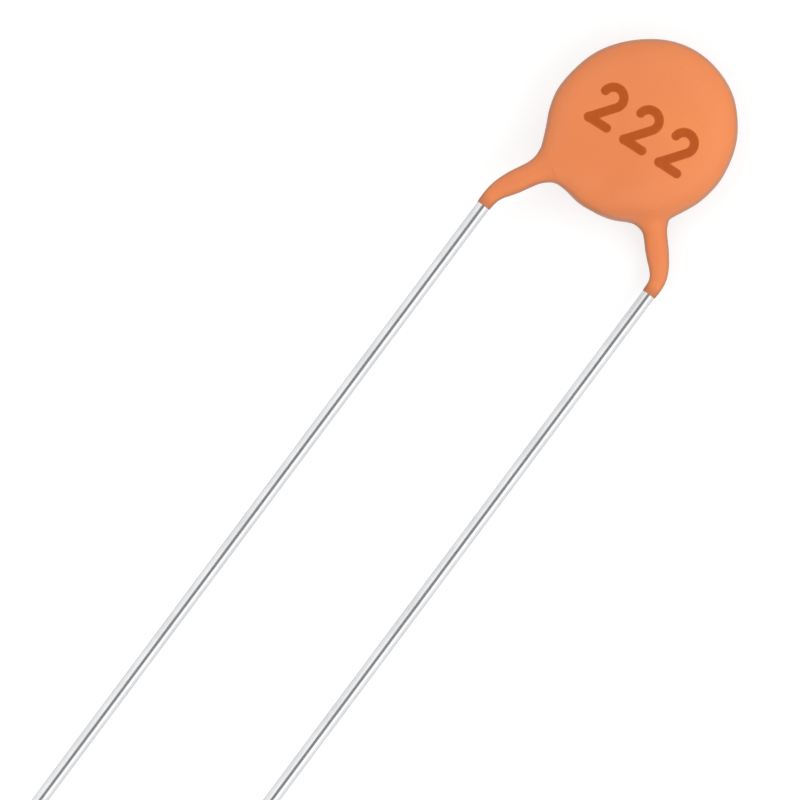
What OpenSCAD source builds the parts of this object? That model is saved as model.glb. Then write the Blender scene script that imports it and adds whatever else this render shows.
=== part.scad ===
// Radial ceramic disc capacitor, lying on its back: +Z is its front, the leads run towards -Y.
// A ceramic disc with a silver electrode on each face is soldered between two wire leads, and
// the whole is dipped in one coating, which runs down over the roots of both leads.

/* [Body] */
// Width of the coated body, across the leads
body_w = 7.5; // [7.3:0.1:8]
// Height of the coated body, along the leads
body_h = 7.76; // [7.6:0.02:8.2]
// Thickness of the coated body
body_t = 2.6; // [2.5:0.1:3.2]
// Shift of the body's centre sideways from the middle of the leads
body_shift = -0.45; // [-0.6:0.05:-0.3]

/* [Leads] */
// Spacing of the two leads, centre to centre
lead_pitch = 7.5; // [7.4:0.05:7.6]
// Diameter of the lead wire
wire_d = 0.55; // [0.5:0.01:0.6]
// Distance from the centre of the disc to the lead tips
lead_reach = 37; // [15:1:45]
// Radius of the front lead's bend, to the axis of the wire
front_bend_r = 2; // [1.9:0.05:2.1]
// Radius of the back lead's bend, to the axis of the wire
back_bend_r = 1.2; // [1.1:0.05:1.3]
// Angle that the front lead turns inwards
front_angle = 28; // [27:0.5:29]
// Angle that the back lead turns inwards
back_angle = 43; // [42:0.5:44]
// Distance from the centre of the disc down to the start of the front lead's bend
front_bend = 6.1; // [6.05:0.05:6.15]
// Distance from the centre of the disc down to the start of the back lead's bend
back_bend = 4.81; // [4.78:0.01:4.84]
// Length of each lead from its bend to its inner end
root_length = 5.9; // [5.5:0.1:6]

/* [Coating run-downs] */
// Distance from the centre of the disc down to the end of the coating on the front lead
front_run = 6.22; // [6.2:0.02:6.4]
// Distance from the centre of the disc down to the end of the coating on the back lead
back_run = 5.05; // [5.02:0.01:5.2]
// Thickness of the coating at its end on a lead
feather = 0.03; // [0.03:0.01:0.05]
// Radius of a run-down along its middle
run_r = 0.48; // [0.46:0.01:0.5]

/* [Ceramic disc] */
// Diameter of the ceramic disc
disc_d = 6.6; // [6.2:0.1:6.6]
// Thickness of the ceramic disc
disc_t = 0.4; // [0.3:0.05:0.4]
// Diameter of each silver electrode
electrode_d = 6; // [5.6:0.1:6]
// Thickness of each electrode as drawn
electrode_t = 0.05; // [0.03:0.01:0.05]

/* [Solder] */
// Height of each solder mound above its electrode
solder_h = 0.68; // [0.66:0.02:0.76]
// Length of each solder mound along the wire
solder_length = 2.7; // [2.5:0.1:2.8]
// Solder left between the wire and the electrode
solder_gap = 0.03; // [0.02:0.01:0.05]

/* [Hidden] */
$fn = 64;

FRONT = -1; // the front lead stands on the -X side and runs over the front face
BACK = 1;   // the back lead stands on the +X side and runs over the back face
wire_r = wire_d / 2;
lead_x = lead_pitch / 2;
wire_z = disc_t / 2 + electrode_t + solder_gap + wire_r; // from the disc's middle to a wire's axis
draw_down = 0.003;                      // what a drawn wire's radius loses at each end of its bend
lap = 0.05;                             // how far each stretch of a wire reaches into the one before
electrode_z = disc_t / 2 + electrode_t; // from the disc's middle to an electrode's face
disc_y = (lead_reach - body_h / 2) / 2; // puts the whole part's middle at Y = 0
body_centre = [body_shift, 0];
body_half = [body_w / 2, body_h / 2];

section_sides = 28;       // corners of each section of the coating
row_steps = 3;            // sections from one row of the coating to the next
taper = [1.7, 2];         // length over which a run-down thickens from its end: front, back
flare_from = [2, 2.3];    // distance from its end where a run-down starts to widen into the body
flare_gain = [0.28, 1.1]; // how fast it widens there
outer_share = [1, 0.45];  // how much of that widening its outer side takes
root_spread = 0.4;        // how much of that widening also thickens it
root_drift = 0.2;         // how fast its middle drifts to the disc's plane

// Distances from its end at which the front run-down has a row, and the same for the back one
front_stops = [0, 0.4, 0.8, 1.2, 1.6, 2, 2.4, 2.75, 3];
back_stops = [3.05, 2.85, 2.6, 2.3, 1.9, 1.5, 1.1, 0.7, 0.35, 0];

// Rows round the body: the angle and swell of the point on its rim, the point on its lower edge
// as fractions of the body's half width and half height, the half thickness and the middle's
// height as fractions of the body's half thickness, and the squareness of the section
body_rows = [
    [224, 1.073, -0.33, -0.983, 0.52, 0.39, 2.1],
    [214, 1.026, -0.26, -0.985, 0.62, 0.31, 2.2],
    [202, 1.018, -0.205, -0.99, 0.72, 0.22, 2.3],
    [186, 1.005, -0.16, -0.996, 0.82, 0.14, 2.4],
    [160, 0.975, -0.11, -1, 0.92, 0.07, 2.5],
    [134, 0.957, -0.06, -1.001, 0.98, 0.02, 2.5],
    [108, 0.985, -0.01, -0.999, 0.997, 0, 2.5],
    [84, 1.009, 0.04, -0.993, 0.997, 0, 2.5],
    [58, 1.028, 0.1, -0.984, 0.98, -0.02, 2.5],
    [32, 1.023, 0.16, -0.975, 0.92, -0.07, 2.5],
    [8, 1.011, 0.22, -0.96, 0.83, -0.14, 2.4],
    [-9, 0.997, 0.29, -0.939, 0.73, -0.22, 2.3],
    [-21, 0.985, 0.36, -0.91, 0.63, -0.3, 2.2],
];

// Values of one side: index 0 is the front lead's, index 1 the back lead's
function pick(side, pair) = side == FRONT ? pair[0] : pair[1];
function angle_of(side) = pick(side, [front_angle, back_angle]);
function bend_of(side) = pick(side, [front_bend, back_bend]);
function bend_r(side) = pick(side, [front_bend_r, back_bend_r]);
function run_of(side) = pick(side, [front_run, back_run]);

// Unit vector along a lead where it has turned by an angle, pointing up to the disc
function heading(side, angle) = [-side * sin(angle), cos(angle)];

// Point on a lead's axis where it has turned by an angle
function bend_point(side, angle) =
    [side * (lead_x - bend_r(side) * (1 - cos(angle))), bend_r(side) * sin(angle) - bend_of(side)];

// Inner end of a lead
function inner_end(side) =
    bend_point(side, angle_of(side)) + root_length * heading(side, angle_of(side));

// Angle by which a lead has turned at a distance up from the end of its coating
function turn_at(side, along) =
    min(angle_of(side), max(0, (along - run_of(side) + bend_of(side)) / bend_r(side) * 180 / PI));

// Point on a lead's axis at that distance: up the straight wire, round the bend, then on its slope
function axis_at(side, along) =
    let (
        straight = run_of(side) - bend_of(side),
        turned = turn_at(side, along),
        past = along - straight - turned / 180 * PI * bend_r(side)
    )
    bend_point(side, turned) + past * heading(side, turned);

// A run-down's radius and its widening into the body, at a distance from its end
function smooth_step(t) = t <= 0 ? 0 : t >= 1 ? 1 : t * t * (3 - 2 * t);
function radius_at(side, along) =
    let (end_r = wire_r + feather) end_r + (run_r - end_r) * smooth_step(along / pick(side, taper));
function flare_at(side, along) =
    pick(side, flare_gain) * pow(max(0, along - pick(side, flare_from)), 3);

// One row of the coating: outer edge x and y, inner edge x and y, half thickness, middle's height
// and squareness
function run_row(side, along) =
    let (
        centre = axis_at(side, along),
        forward = heading(side, turn_at(side, along)),
        across = side * [forward[1], -forward[0]],
        radius = radius_at(side, along),
        flare = flare_at(side, along),
        outer = centre + (radius + pick(side, outer_share) * flare) * across,
        inner = centre - (radius + flare) * across
    )
    [outer[0], outer[1], inner[0], inner[1], radius + root_spread * flare,
     -side * wire_z * (1 - root_drift * flare), 2];

function body_row(row) =
    let (
        rim = row[1] * [body_half[0] * cos(row[0]), body_half[1] * sin(row[0])],
        under = [body_half[0] * row[2], body_half[1] * row[3]],
        outer = body_centre + rim,
        inner = body_centre + under
    )
    [outer[0], outer[1], inner[0], inner[1], row[4] * body_t / 2, row[5] * body_t / 2, row[6]];

rows = concat(
    [for (along = front_stops) run_row(FRONT, along)],
    [for (row = body_rows) body_row(row)],
    [for (along = back_stops) run_row(BACK, along)]
);

// Curve through four neighbouring rows, from the second (t = 0) to the third (t = 1)
function between(a, b, c, d, t) =
    b + t / 2 * (c - a + t * (2 * a - 5 * b + 4 * c - d + t * (3 * (b - c) + d - a)));
last_row = len(rows) - 1;
function row_at(i) = rows[min(last_row, max(0, i))];
stations = concat(
    [for (i = [0:last_row - 1], j = [0:row_steps - 1])
        between(row_at(i - 1), row_at(i), row_at(i + 1), row_at(i + 2), j / row_steps)],
    [rows[last_row]]
);

// Distance from a plan point to the nearest point of the skin's outline, which is both edges
function outer_edge(row) = [row[0], row[1]];
function inner_edge(row) = [row[2], row[3]];
function distance_to_line(point, from, to) =
    let (
        line = to - from,
        along = (point - from) * line / (line * line)
    )
    norm(point - from - min(1, max(0, along)) * line);
function distance_to_edges(point) = min([
    for (i = [0:len(stations) - 2])
        min(distance_to_line(point, outer_edge(stations[i]), outer_edge(stations[i + 1])),
            distance_to_line(point, inner_edge(stations[i]), inner_edge(stations[i + 1])))
]);

// Section of the coating on one row. It is as thick as its points lie deep inside the outline,
// along a quarter of a squared circle, so it is round on the leads and a pillow on the body.
function squared(value, squareness) = pow(max(0, 1 - pow(1 - value, squareness)), 1 / squareness);
function section(row) =
    let (
        middle = (outer_edge(row) + inner_edge(row)) / 2,
        reach = (outer_edge(row) - inner_edge(row)) / 2,
        half = section_sides / 2,
        plan = [for (i = [0:half]) middle + cos(180 * i / half) * reach],
        depth = [for (i = [0:half]) i == 0 || i == half ? 0 : distance_to_edges(plan[i])],
        deepest = max(depth),
        high = [for (i = [0:half]) row[4] * squared(depth[i] / deepest, row[6])]
    )
    concat(
        [for (i = [0:half]) [plan[i][0], plan[i][1], row[5] + high[i]]],
        [for (i = [half - 1:-1:1]) [plan[i][0], plan[i][1], row[5] - high[i]]]
    );

// The skin of the coating: its sections joined into one closed surface
module skin() {
    count = len(stations);
    corners = [for (row = stations) each section(row)];
    start_cap = [for (i = [0:section_sides - 1]) i];
    end_cap = [for (i = [section_sides - 1:-1:0]) (count - 1) * section_sides + i];
    sides = [
        for (s = [0:count - 2], i = [0:section_sides - 1])
            let (
                next = (i + 1) % section_sides,
                a = s * section_sides + i,
                b = s * section_sides + next,
                c = (s + 1) * section_sides + next,
                d = (s + 1) * section_sides + i
            )
            each [[a, c, b], [a, d, c]]
    ];
    polyhedron(points = corners, faces = concat([start_cap, end_cap], sides), convexity = 6);
}

// One lead: a straight wire, a bend, and a straight root that runs in over a face of the disc.
// Bending draws the wire down by a hair, so each stretch seats inside the one before it.
module wire(side) {
    angle = angle_of(side);
    bend_y = -bend_of(side);
    lap_angle = lap / bend_r(side) * 180 / PI;
    sweep = angle + lap_angle;
    root = bend_point(side, angle) - lap * heading(side, angle);
    translate([0, 0, -side * wire_z]) {
        translate([side * lead_x, -lead_reach, 0])
            rotate([-90, 0, 0])
                cylinder(h = lead_reach + bend_y, r = wire_r);
        translate([side * (lead_x - bend_r(side)), bend_y, 0])
            rotate([0, 0, side == FRONT ? 180 - angle : -lap_angle])
                rotate_extrude(angle = sweep)
                    translate([bend_r(side), 0])
                        circle(r = wire_r - draw_down);
        translate(root)
            rotate([0, 0, side * angle])
                rotate([-90, 0, 0])
                    cylinder(h = root_length + lap, r = wire_r - 2 * draw_down);
    }
}

// One solder mound: half a spindle that lies along the wire on its electrode
module mound(side) {
    half_length = solder_length / 2;
    end_h = 0.12; // height of the mound at its two ends
    rise = solder_h - end_h;
    arc_r = (half_length * half_length + rise * rise) / (2 * rise);
    set_back = 1.2; // from the inner end of the lead to the middle of the mound
    angle = angle_of(side);
    centre = inner_end(side) - set_back * heading(side, angle);
    translate([centre[0], centre[1], -side * electrode_z])
        rotate([0, 0, side * angle])
            mirror([0, 0, side == FRONT ? 0 : 1])
                rotate([90, 0, 0])
                    rotate_extrude(angle = 180)
                        intersection() {
                            translate([solder_h - arc_r, 0]) circle(r = arc_r);
                            translate([0, -half_length]) square([solder_h, solder_length]);
                        }
}

module disc() {
    translate([body_shift, 0, -disc_t / 2]) cylinder(h = disc_t, d = disc_d);
}

module electrode(side) {
    low = side == FRONT ? disc_t / 2 : -electrode_z;
    translate([body_shift, 0, low]) cylinder(h = electrode_t, d = electrode_d);
}

// Puts a piece from the disc's own frame, with its centre at the origin, into the part's frame
module placed() {
    translate([0, disc_y, body_t / 2]) children();
}

module coating() {
    color("#E88A57")
        placed()
            difference() {
                skin();
                disc();
                for (side = [FRONT, BACK]) {
                    electrode(side);
                    mound(side);
                    wire(side);
                }
            }
}

module front_lead() {
    color("#D5D6D8") placed() wire(FRONT);
}

module back_lead() {
    color("#D5D6D8") placed() wire(BACK);
}

module ceramic_disc() {
    color("#8A6A4E") placed() disc();
}

module front_electrode() {
    color("#C9C6BE") placed() electrode(FRONT);
}

module back_electrode() {
    color("#C9C6BE") placed() electrode(BACK);
}

module front_solder() {
    color("#B4B6BA")
        placed()
            difference() {
                mound(FRONT);
                wire(FRONT);
            }
}

module back_solder() {
    color("#B4B6BA")
        placed()
            difference() {
                mound(BACK);
                wire(BACK);
            }
}

coating();
front_lead();
back_lead();
ceramic_disc();
front_electrode();
back_electrode();
front_solder();
back_solder();
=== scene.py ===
"""A radial ceramic disc capacitor lying on its back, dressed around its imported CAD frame.

The frame holds eight solids. The three that show, the dipped coating and the two wire leads, are
built again here as fine smooth surfaces and stand for their CAD nodes. A plain value is printed
on the front face as a thin layer of ink. The five pieces inside the coating keep their CAD meshes.
Every piece gets the finish of the real one, and a floor, lamps and a camera are set round it.

Sizes in the dataclass fields are in millimetres and degrees. Blender's own lengths are in metres.
"""

import logging
import math
from dataclasses import dataclass, field
from enum import Enum

import bpy
import numpy as np
from mathutils import Matrix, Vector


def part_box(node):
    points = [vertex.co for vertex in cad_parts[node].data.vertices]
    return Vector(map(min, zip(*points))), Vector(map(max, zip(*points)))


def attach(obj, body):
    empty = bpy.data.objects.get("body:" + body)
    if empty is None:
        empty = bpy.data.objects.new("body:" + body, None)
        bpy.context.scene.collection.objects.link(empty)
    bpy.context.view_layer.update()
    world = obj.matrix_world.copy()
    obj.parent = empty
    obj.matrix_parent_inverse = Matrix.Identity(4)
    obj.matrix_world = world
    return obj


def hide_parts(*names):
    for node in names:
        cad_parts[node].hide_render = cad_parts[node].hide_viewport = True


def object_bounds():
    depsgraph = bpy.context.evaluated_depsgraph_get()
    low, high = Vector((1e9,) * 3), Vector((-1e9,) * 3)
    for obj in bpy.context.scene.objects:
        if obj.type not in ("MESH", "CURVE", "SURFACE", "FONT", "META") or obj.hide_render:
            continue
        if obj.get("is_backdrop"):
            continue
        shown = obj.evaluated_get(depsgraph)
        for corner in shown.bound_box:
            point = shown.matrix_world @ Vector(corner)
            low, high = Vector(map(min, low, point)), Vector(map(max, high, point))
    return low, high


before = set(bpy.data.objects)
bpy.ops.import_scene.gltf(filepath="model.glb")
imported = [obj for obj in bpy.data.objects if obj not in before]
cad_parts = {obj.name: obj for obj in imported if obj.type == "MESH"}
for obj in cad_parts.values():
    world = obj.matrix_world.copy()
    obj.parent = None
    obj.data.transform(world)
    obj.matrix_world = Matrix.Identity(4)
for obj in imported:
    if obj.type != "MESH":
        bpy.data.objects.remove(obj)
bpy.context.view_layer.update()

MM = 0.001
BODY = "root"
TINY = 1e-12  # keeps a vector of no length from being divided by nothing
CHUNKS = 64  # parts in which long lists of distances are measured, to save memory

# A Mix node's inputs for two colours and for how much of the second shows
SHARE, UNDER, OVER = 0, 6, 7
COLOURS = {"data_type": "RGBA"}
# A Map Range node takes the value, the range that it comes from and the range that it goes to
WHOLE = (0.0, 1.0)
MOST_OF_NOISE = (0.3, 0.7)  # the range that nearly all of a noise's values lie in

log = logging.getLogger("capacitor")


class Side(Enum):
    """Which lead: the front one stands on the -X side over the front face, the back one on +X."""

    FRONT = -1
    BACK = 1

    @property
    def node(self) -> str:
        """Name of this lead's CAD node."""
        return f"{self.name.lower()}_lead"


# ---------------------------------------------------------------- meshes and nodes


def srgb(text: str) -> tuple[float, float, float, float]:
    """Turns an sRGB hex colour into the linear colour that a shader socket takes.

    Args:
        text: the colour, such as "#EA8A57".

    Returns:
        Linear red, green, blue and an alpha of 1.
    """
    parts = np.array([int(text[i : i + 2], 16) for i in (1, 3, 5)]) / 255
    linear = np.where(parts <= 0.04045, parts / 12.92, ((parts + 0.055) / 1.055) ** 2.4)
    return (*linear.tolist(), 1.0)


def add_node(
    tree: bpy.types.NodeTree,
    kind: str,
    inputs: dict | tuple = (),
    output: str | None = None,
    **settings: object,
) -> bpy.types.NodeSocket | None:
    """Adds one shader node to a tree, with its settings, its constants and its links.

    Args:
        tree: the material's or world's node tree.
        kind: the node's type name, less the "ShaderNode" that all of them start with.
        inputs: for each input, by its name or number or in order from the first, the output
            socket that feeds it or its constant, where a string is an sRGB hex colour.
        output: name of the output that is wanted, where that isn't the first one in use.
        settings: the node's own properties.

    Returns:
        The wanted output socket, or None from a node that has no output.
    """
    node = tree.nodes.new("ShaderNode" + kind)
    for name, value in settings.items():
        setattr(node, name, value)
    for name, value in inputs.items() if isinstance(inputs, dict) else enumerate(inputs):
        if isinstance(value, bpy.types.NodeSocket):
            tree.links.new(value, node.inputs[name])
        else:
            node.inputs[name].default_value = srgb(value) if isinstance(value, str) else value
    if output:
        return node.outputs[output]
    return next((socket for socket in node.outputs if socket.enabled), None)


def new_material(name: str) -> tuple[bpy.types.Material, bpy.types.NodeTree]:
    """Makes an empty node material.

    Args:
        name: the finish in plain words.

    Returns:
        The material and its node tree, with no nodes in it.
    """
    material = bpy.data.materials.new(name)
    material.use_nodes = True
    material.node_tree.nodes.clear()
    return material, material.node_tree


def seen_white(tree: bpy.types.NodeTree) -> bpy.types.NodeSocket:
    """Tells the rays that look at the studio from those that carry its light.

    Args:
        tree: the node tree of a studio material or of the world.

    Returns:
        An output of 1 for camera rays and for rays off gloss or through glass, and 0 for others:
        the sum of the three, held at 1.
    """
    rays = add_node(tree, "LightPath").node.outputs
    seen = add_node(tree, "Math", (rays["Is Camera Ray"], rays["Is Glossy Ray"]), operation="ADD")
    through = rays["Is Transmission Ray"]
    return add_node(tree, "Math", (seen, through), operation="ADD", use_clamp=True)


def cell_corners(grid: np.ndarray) -> np.ndarray:
    """Lists the four corners of every cell of a grid.

    Args:
        grid: one value at each crossing, (n, m).

    Returns:
        The corners' values, (n - 1, m - 1, 4), in order round the cell.
    """
    return np.stack([grid[:-1, :-1], grid[1:, :-1], grid[1:, 1:], grid[:-1, 1:]], axis=-1)


def closed_tube(rings: np.ndarray, poles: np.ndarray) -> tuple[np.ndarray, list]:
    """Joins closed rings into one tube and closes both its ends on a middle point.

    Ring r, corner c is vertex r * corners + c. Each cell of the grid is a quad, and each end is a
    fan of triangles round its pole, so the surface has no open edge.

    Args:
        rings: ring points, (rings, corners, 3), turning anticlockwise seen from the last.
        poles: the middle point of the first end and of the last, (2, 3).

    Returns:
        All the points, (n, 3), and the faces that join them.
    """
    count, corners = rings.shape[:2]
    index = np.arange(count * corners).reshape(count, corners)
    turned = np.roll(index, -1, axis=1)
    quads = cell_corners(np.hstack([index, index[:, :1]]))[..., [0, 3, 2, 1]].reshape(-1, 4)
    first, last = count * corners, count * corners + 1
    start = np.stack([turned[0], index[0], np.full(corners, first)], axis=-1)
    end = np.stack([index[-1], turned[-1], np.full(corners, last)], axis=-1)
    points = np.vstack([rings.reshape(-1, 3), poles])
    return points, quads.tolist() + start.tolist() + end.tolist()


def link_object(name: str, data: bpy.types.ID) -> bpy.types.Object:
    """Makes an object of a mesh, a lamp or a camera, and links it into the scene.

    Args:
        name: the object's name.
        data: what it holds.

    Returns:
        The new object, at the origin.
    """
    made = bpy.data.objects.new(name, data)
    bpy.context.scene.collection.objects.link(made)
    return made


def make_piece(name: str, points: np.ndarray, faces: list) -> bpy.types.Object:
    """Makes a smooth-shaded piece at the origin that rides on the part's one body.

    Args:
        name: the piece's name.
        points: its vertices in metres, (n, 3).
        faces: its faces as lists of vertex numbers, turning anticlockwise seen from outside.

    Returns:
        The new object.
    """
    mesh = bpy.data.meshes.new(name)
    mesh.from_pydata(points.tolist(), [], faces)
    mesh.polygons.foreach_set("use_smooth", np.ones(len(mesh.polygons), dtype=bool))
    mesh.update()
    piece = link_object(name, mesh)
    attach(piece, BODY)
    return piece


def point_attribute(piece: bpy.types.Object, name: str, values: np.ndarray) -> None:
    """Stores one number or one vector for each vertex, for the piece's material to read.

    Args:
        piece: the object.
        name: the attribute's name.
        values: (n,) numbers or (n, 3) vectors.
    """
    vector = values.ndim == 2
    layer = piece.data.attributes.new(name, "FLOAT_VECTOR" if vector else "FLOAT", "POINT")
    layer.data.foreach_set("vector" if vector else "value", values.astype(np.float32).ravel())


def smooth_step(share: np.ndarray) -> np.ndarray:
    """Ease from 0 to 1: three times the square less twice the cube, held outside that range."""
    share = np.clip(share, 0, 1)
    return share * share * (3 - 2 * share)


def eased_along(rows: np.ndarray, passes: int) -> np.ndarray:
    """Evens rows out along their list and holds the first and the last.

    In each pass every other row becomes half of itself and a quarter of each of its neighbours.

    Args:
        rows: the rows, (n, m).
        passes: how many times over.

    Returns:
        The evened rows, (n, m).
    """
    for _ in range(passes):
        rows = np.vstack([rows[:1], (rows[:-2] + 2 * rows[1:-1] + rows[2:]) / 4, rows[-1:]])
    return rows


# ---------------------------------------------------------------- finishes


@dataclass(frozen=True)
class DippedResin:
    """Phenolic conformal coating, dipped, drained and baked.

    The eye sees a satin orange skin with a broad soft sheen, a faint orange peel and a few dark
    grains of filler. Its colour is painted lighter towards the head, as light falling from that
    side, with slow runs of tone across that. It is browner where the film thins out at its ends on
    the wires, and a painted rim shade darkens a narrow band along the rim. A fine dull tooth gives
    every edge a greyer sheen.
    """

    # The light tone also serves as painted light on one side, and the deep tone as painted shade on the
    # other.
    light: str = "#F58D4D"
    deep: str = "#EA8449"
    thin: str = "#CC7847"
    # Painted rim shade: a darker grey-brown laid along the outline.
    rim: str = "#7F5A40"
    rim_shade_share: float = 0.48  # how much of the painted rim shade shows on the rim's very line
    grain: str = "#B9622F"
    grain_share: float = 0.24  # how much of that tone a grain shows
    grain_size: float = 0.34  # from one filler grain to the next
    grain_fade: tuple[float, float] = (0.05, 0.1)  # from where to where it fades, in that size
    ior: float = 1.52
    roughness: tuple[float, float] = (0.46, 0.56)
    sheen: float = 0.4
    sheen_roughness: float = 0.35
    painted_light_way: tuple[float, float] = (0.83, 0.56)  # the way that the painted light makes it lighter, in plan
    painted_light_from: float = 8.3  # distance that way where the painted light starts, and where it is at its lightest
    painted_lightest_at: float = 11.9
    drift: float = 0.18  # how much the runs of tone shift that
    drift_size: float = 2.6  # from one darker run to the next
    peel_size: float = 0.26  # orange peel, from dimple to dimple
    peel_depth: float = 0.004

    def material(self) -> bpy.types.Material:
        """Builds the coating's material.

        Returns:
            The material. It reads Object coordinates and the coating's attributes "film" and
            "rim", which holds the painted rim shade.
        """
        material, tree = new_material("dipped_phenolic_resin")
        place = add_node(tree, "TexCoord", output="Object")
        slow = {"Scale": 1 / (self.drift_size * MM), "Roughness": 0.45, "Distortion": 0.6}
        drift = add_node(tree, "TexNoise", {**slow, "Vector": place})
        runs = add_node(tree, "MapRange", (drift, *MOST_OF_NOISE, -self.drift, self.drift))
        # Painted light: the colour turns lighter one way in plan, as if lit from that side, with the
        # runs of tone over it.
        way = (*self.painted_light_way, 0)
        towards_painted_light = add_node(tree, "VectorMath", (place, way), operation="DOT_PRODUCT")
        painted_light = add_node(tree, "MapRange", (towards_painted_light, self.painted_light_from * MM, self.painted_lightest_at * MM))
        tone = add_node(tree, "Math", (painted_light, runs), operation="ADD", use_clamp=True)
        body = add_node(tree, "Mix", {SHARE: tone, UNDER: self.deep, OVER: self.light}, **COLOURS)
        film = add_node(tree, "Attribute", output="Fac", attribute_name="film")
        edge = add_node(tree, "Mix", {SHARE: film, UNDER: self.thin, OVER: body}, **COLOURS)
        # Painted rim shade: the colour is darkened towards the rim tone along the outline.
        rim = add_node(tree, "Attribute", output="Fac", attribute_name="rim")
        rim_shade_amount = add_node(tree, "MapRange", (rim, *WHOLE, 0, self.rim_shade_share))
        rim_shaded = add_node(tree, "Mix", {SHARE: rim_shade_amount, UNDER: edge, OVER: self.rim}, **COLOURS)
        apart = {"Scale": 1 / (self.grain_size * MM)}
        cells = add_node(tree, "TexVoronoi", {**apart, "Vector": place})
        speck = add_node(tree, "MapRange", (cells, *self.grain_fade, self.grain_share, 0))
        colour = add_node(tree, "Mix", {SHARE: speck, UNDER: rim_shaded, OVER: self.grain}, **COLOURS)
        dimples = {"Scale": 1 / (self.peel_size * MM), "Detail": 2.5, "Roughness": 0.4}
        peel = add_node(tree, "TexNoise", {**dimples, "Vector": place})
        relief = add_node(tree, "Bump", {"Distance": self.peel_depth * MM, "Height": peel})
        gloss = add_node(tree, "MapRange", (drift, *MOST_OF_NOISE, *self.roughness))
        sheen = {"Sheen Weight": self.sheen, "Sheen Roughness": self.sheen_roughness}
        skin = {"Base Color": colour, "Roughness": gloss, "Normal": relief, "IOR": self.ior}
        shader = add_node(tree, "BsdfPrincipled", {**skin, **sheen})
        add_node(tree, "OutputMaterial", {"Surface": shader})
        return material


@dataclass(frozen=True)
class TinnedWire:
    """Copper-clad steel wire, drawn and then plated with tin.

    The eye sees a bright cool white metal with fine lines along the wire from the drawing die and
    slow dull clouds of tin. Seen along the skin the lines shade one another, so the wire's very
    edge is a little darker. A sheared end shows the grey steel core inside a thin ring of copper.
    """

    tin: str = "#E6E7E9"
    dull_tin: str = "#DADBDD"
    dulls: tuple[float, float] = (0.35, 0.7)  # cloud noise where the tin starts to dull, and ends
    edge: str = "#B4B4B4"
    steel: str = "#8C8B89"
    copper: str = "#B9714C"
    roughness: tuple[float, float] = (0.16, 0.3)
    line_width: float = 0.035  # across the wire, from one drawing line to the next
    line_length: float = 4.0
    line_depth: float = 0.0006
    cloud_size: float = 1.4
    core_r: float = 0.225
    core_blur: float = 0.006  # to each side of the core's edge
    clad_r: float = 0.264
    clad_blur: float = 0.003

    def material(self) -> bpy.types.Material:
        """Builds the wire's material.

        Returns:
            The material. It reads the lead's attribute "wire_place": the place in the wire's own
            round section in millimetres, and the distance along the wire.
        """
        material, tree = new_material("tinned_copper_clad_steel_wire")
        place = add_node(tree, "Attribute", output="Vector", attribute_name="wire_place")
        drawn = (1 / self.line_width, 1 / self.line_width, 1 / self.line_length)
        stretched = add_node(tree, "Mapping", {"Scale": drawn, "Vector": place})
        lines = add_node(tree, "TexNoise", {"Scale": 1.0, "Roughness": 0.55, "Vector": stretched})
        slow = {"Scale": 1 / self.cloud_size, "Detail": 3.0, "Roughness": 0.55}
        clouds = add_node(tree, "TexNoise", {**slow, "Vector": place})
        dull = add_node(tree, "MapRange", (clouds, *self.dulls))
        skin = add_node(tree, "Mix", {SHARE: dull, UNDER: self.tin, OVER: self.dull_tin}, **COLOURS)
        section = add_node(tree, "VectorMath", (place, (1, 1, 0)), operation="MULTIPLY")
        depth = add_node(tree, "VectorMath", (section,), operation="LENGTH")
        ends = (self.clad_r - self.clad_blur, self.clad_r + self.clad_blur)
        outside = add_node(tree, "MapRange", (depth, *ends))
        ends = (self.core_r - self.core_blur, self.core_r + self.core_blur)
        clad = add_node(tree, "MapRange", (depth, *ends))
        cut = add_node(tree, "Mix", {SHARE: clad, UNDER: self.steel, OVER: self.copper}, **COLOURS)
        colour = add_node(tree, "Mix", {SHARE: outside, UNDER: cut, OVER: skin}, **COLOURS)
        gloss = add_node(tree, "MapRange", (clouds, *WHOLE, *self.roughness))
        relief = add_node(tree, "Bump", {"Distance": self.line_depth * MM, "Height": lines})
        metal = {"Metallic": 1.0, "Specular Tint": self.edge}
        plated = {"Base Color": colour, "Roughness": gloss, "Normal": relief}
        shader = add_node(tree, "BsdfPrincipled", {**metal, **plated})
        add_node(tree, "OutputMaterial", {"Surface": shader})
        return material


@dataclass(frozen=True)
class StampedInk:
    """Heat-cured marking ink, stamped with a rubber plate.

    The eye sees a red-brown film, a little duller than the resin, slightly mottled where the plate
    left less ink, and thinner along its very edge so that the orange comes through.
    """

    full: str = "#B65212"
    scant: str = "#BC5615"
    rim: str = "#CC6F36"
    roughness: float = 0.5
    specular: float = 0.2
    mottle_size: float = 0.22
    mottle_depth: float = 0.002
    scants: tuple[float, float] = (0.42, 0.75)  # mottle noise where the ink starts to lack, and ends

    def material(self) -> bpy.types.Material:
        """Builds the ink's material.

        Returns:
            The material. It reads Object coordinates and the ink's attribute "ink_depth".
        """
        material, tree = new_material("stamped_marking_ink")
        place = add_node(tree, "TexCoord", output="Object")
        depth = add_node(tree, "Attribute", output="Fac", attribute_name="ink_depth")
        patches = {"Scale": 1 / (self.mottle_size * MM), "Detail": 3.0}
        mottle = add_node(tree, "TexNoise", {**patches, "Vector": place})
        share = add_node(tree, "MapRange", (mottle, *self.scants))
        film = add_node(tree, "Mix", {SHARE: share, UNDER: self.full, OVER: self.scant}, **COLOURS)
        colour = add_node(tree, "Mix", {SHARE: depth, UNDER: self.rim, OVER: film}, **COLOURS)
        relief = add_node(tree, "Bump", {"Distance": self.mottle_depth * MM, "Height": mottle})
        dull = {"Roughness": self.roughness, "Specular IOR Level": self.specular}
        shader = add_node(tree, "BsdfPrincipled", {**dull, "Base Color": colour, "Normal": relief})
        add_node(tree, "OutputMaterial", {"Surface": shader})
        return material


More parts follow.
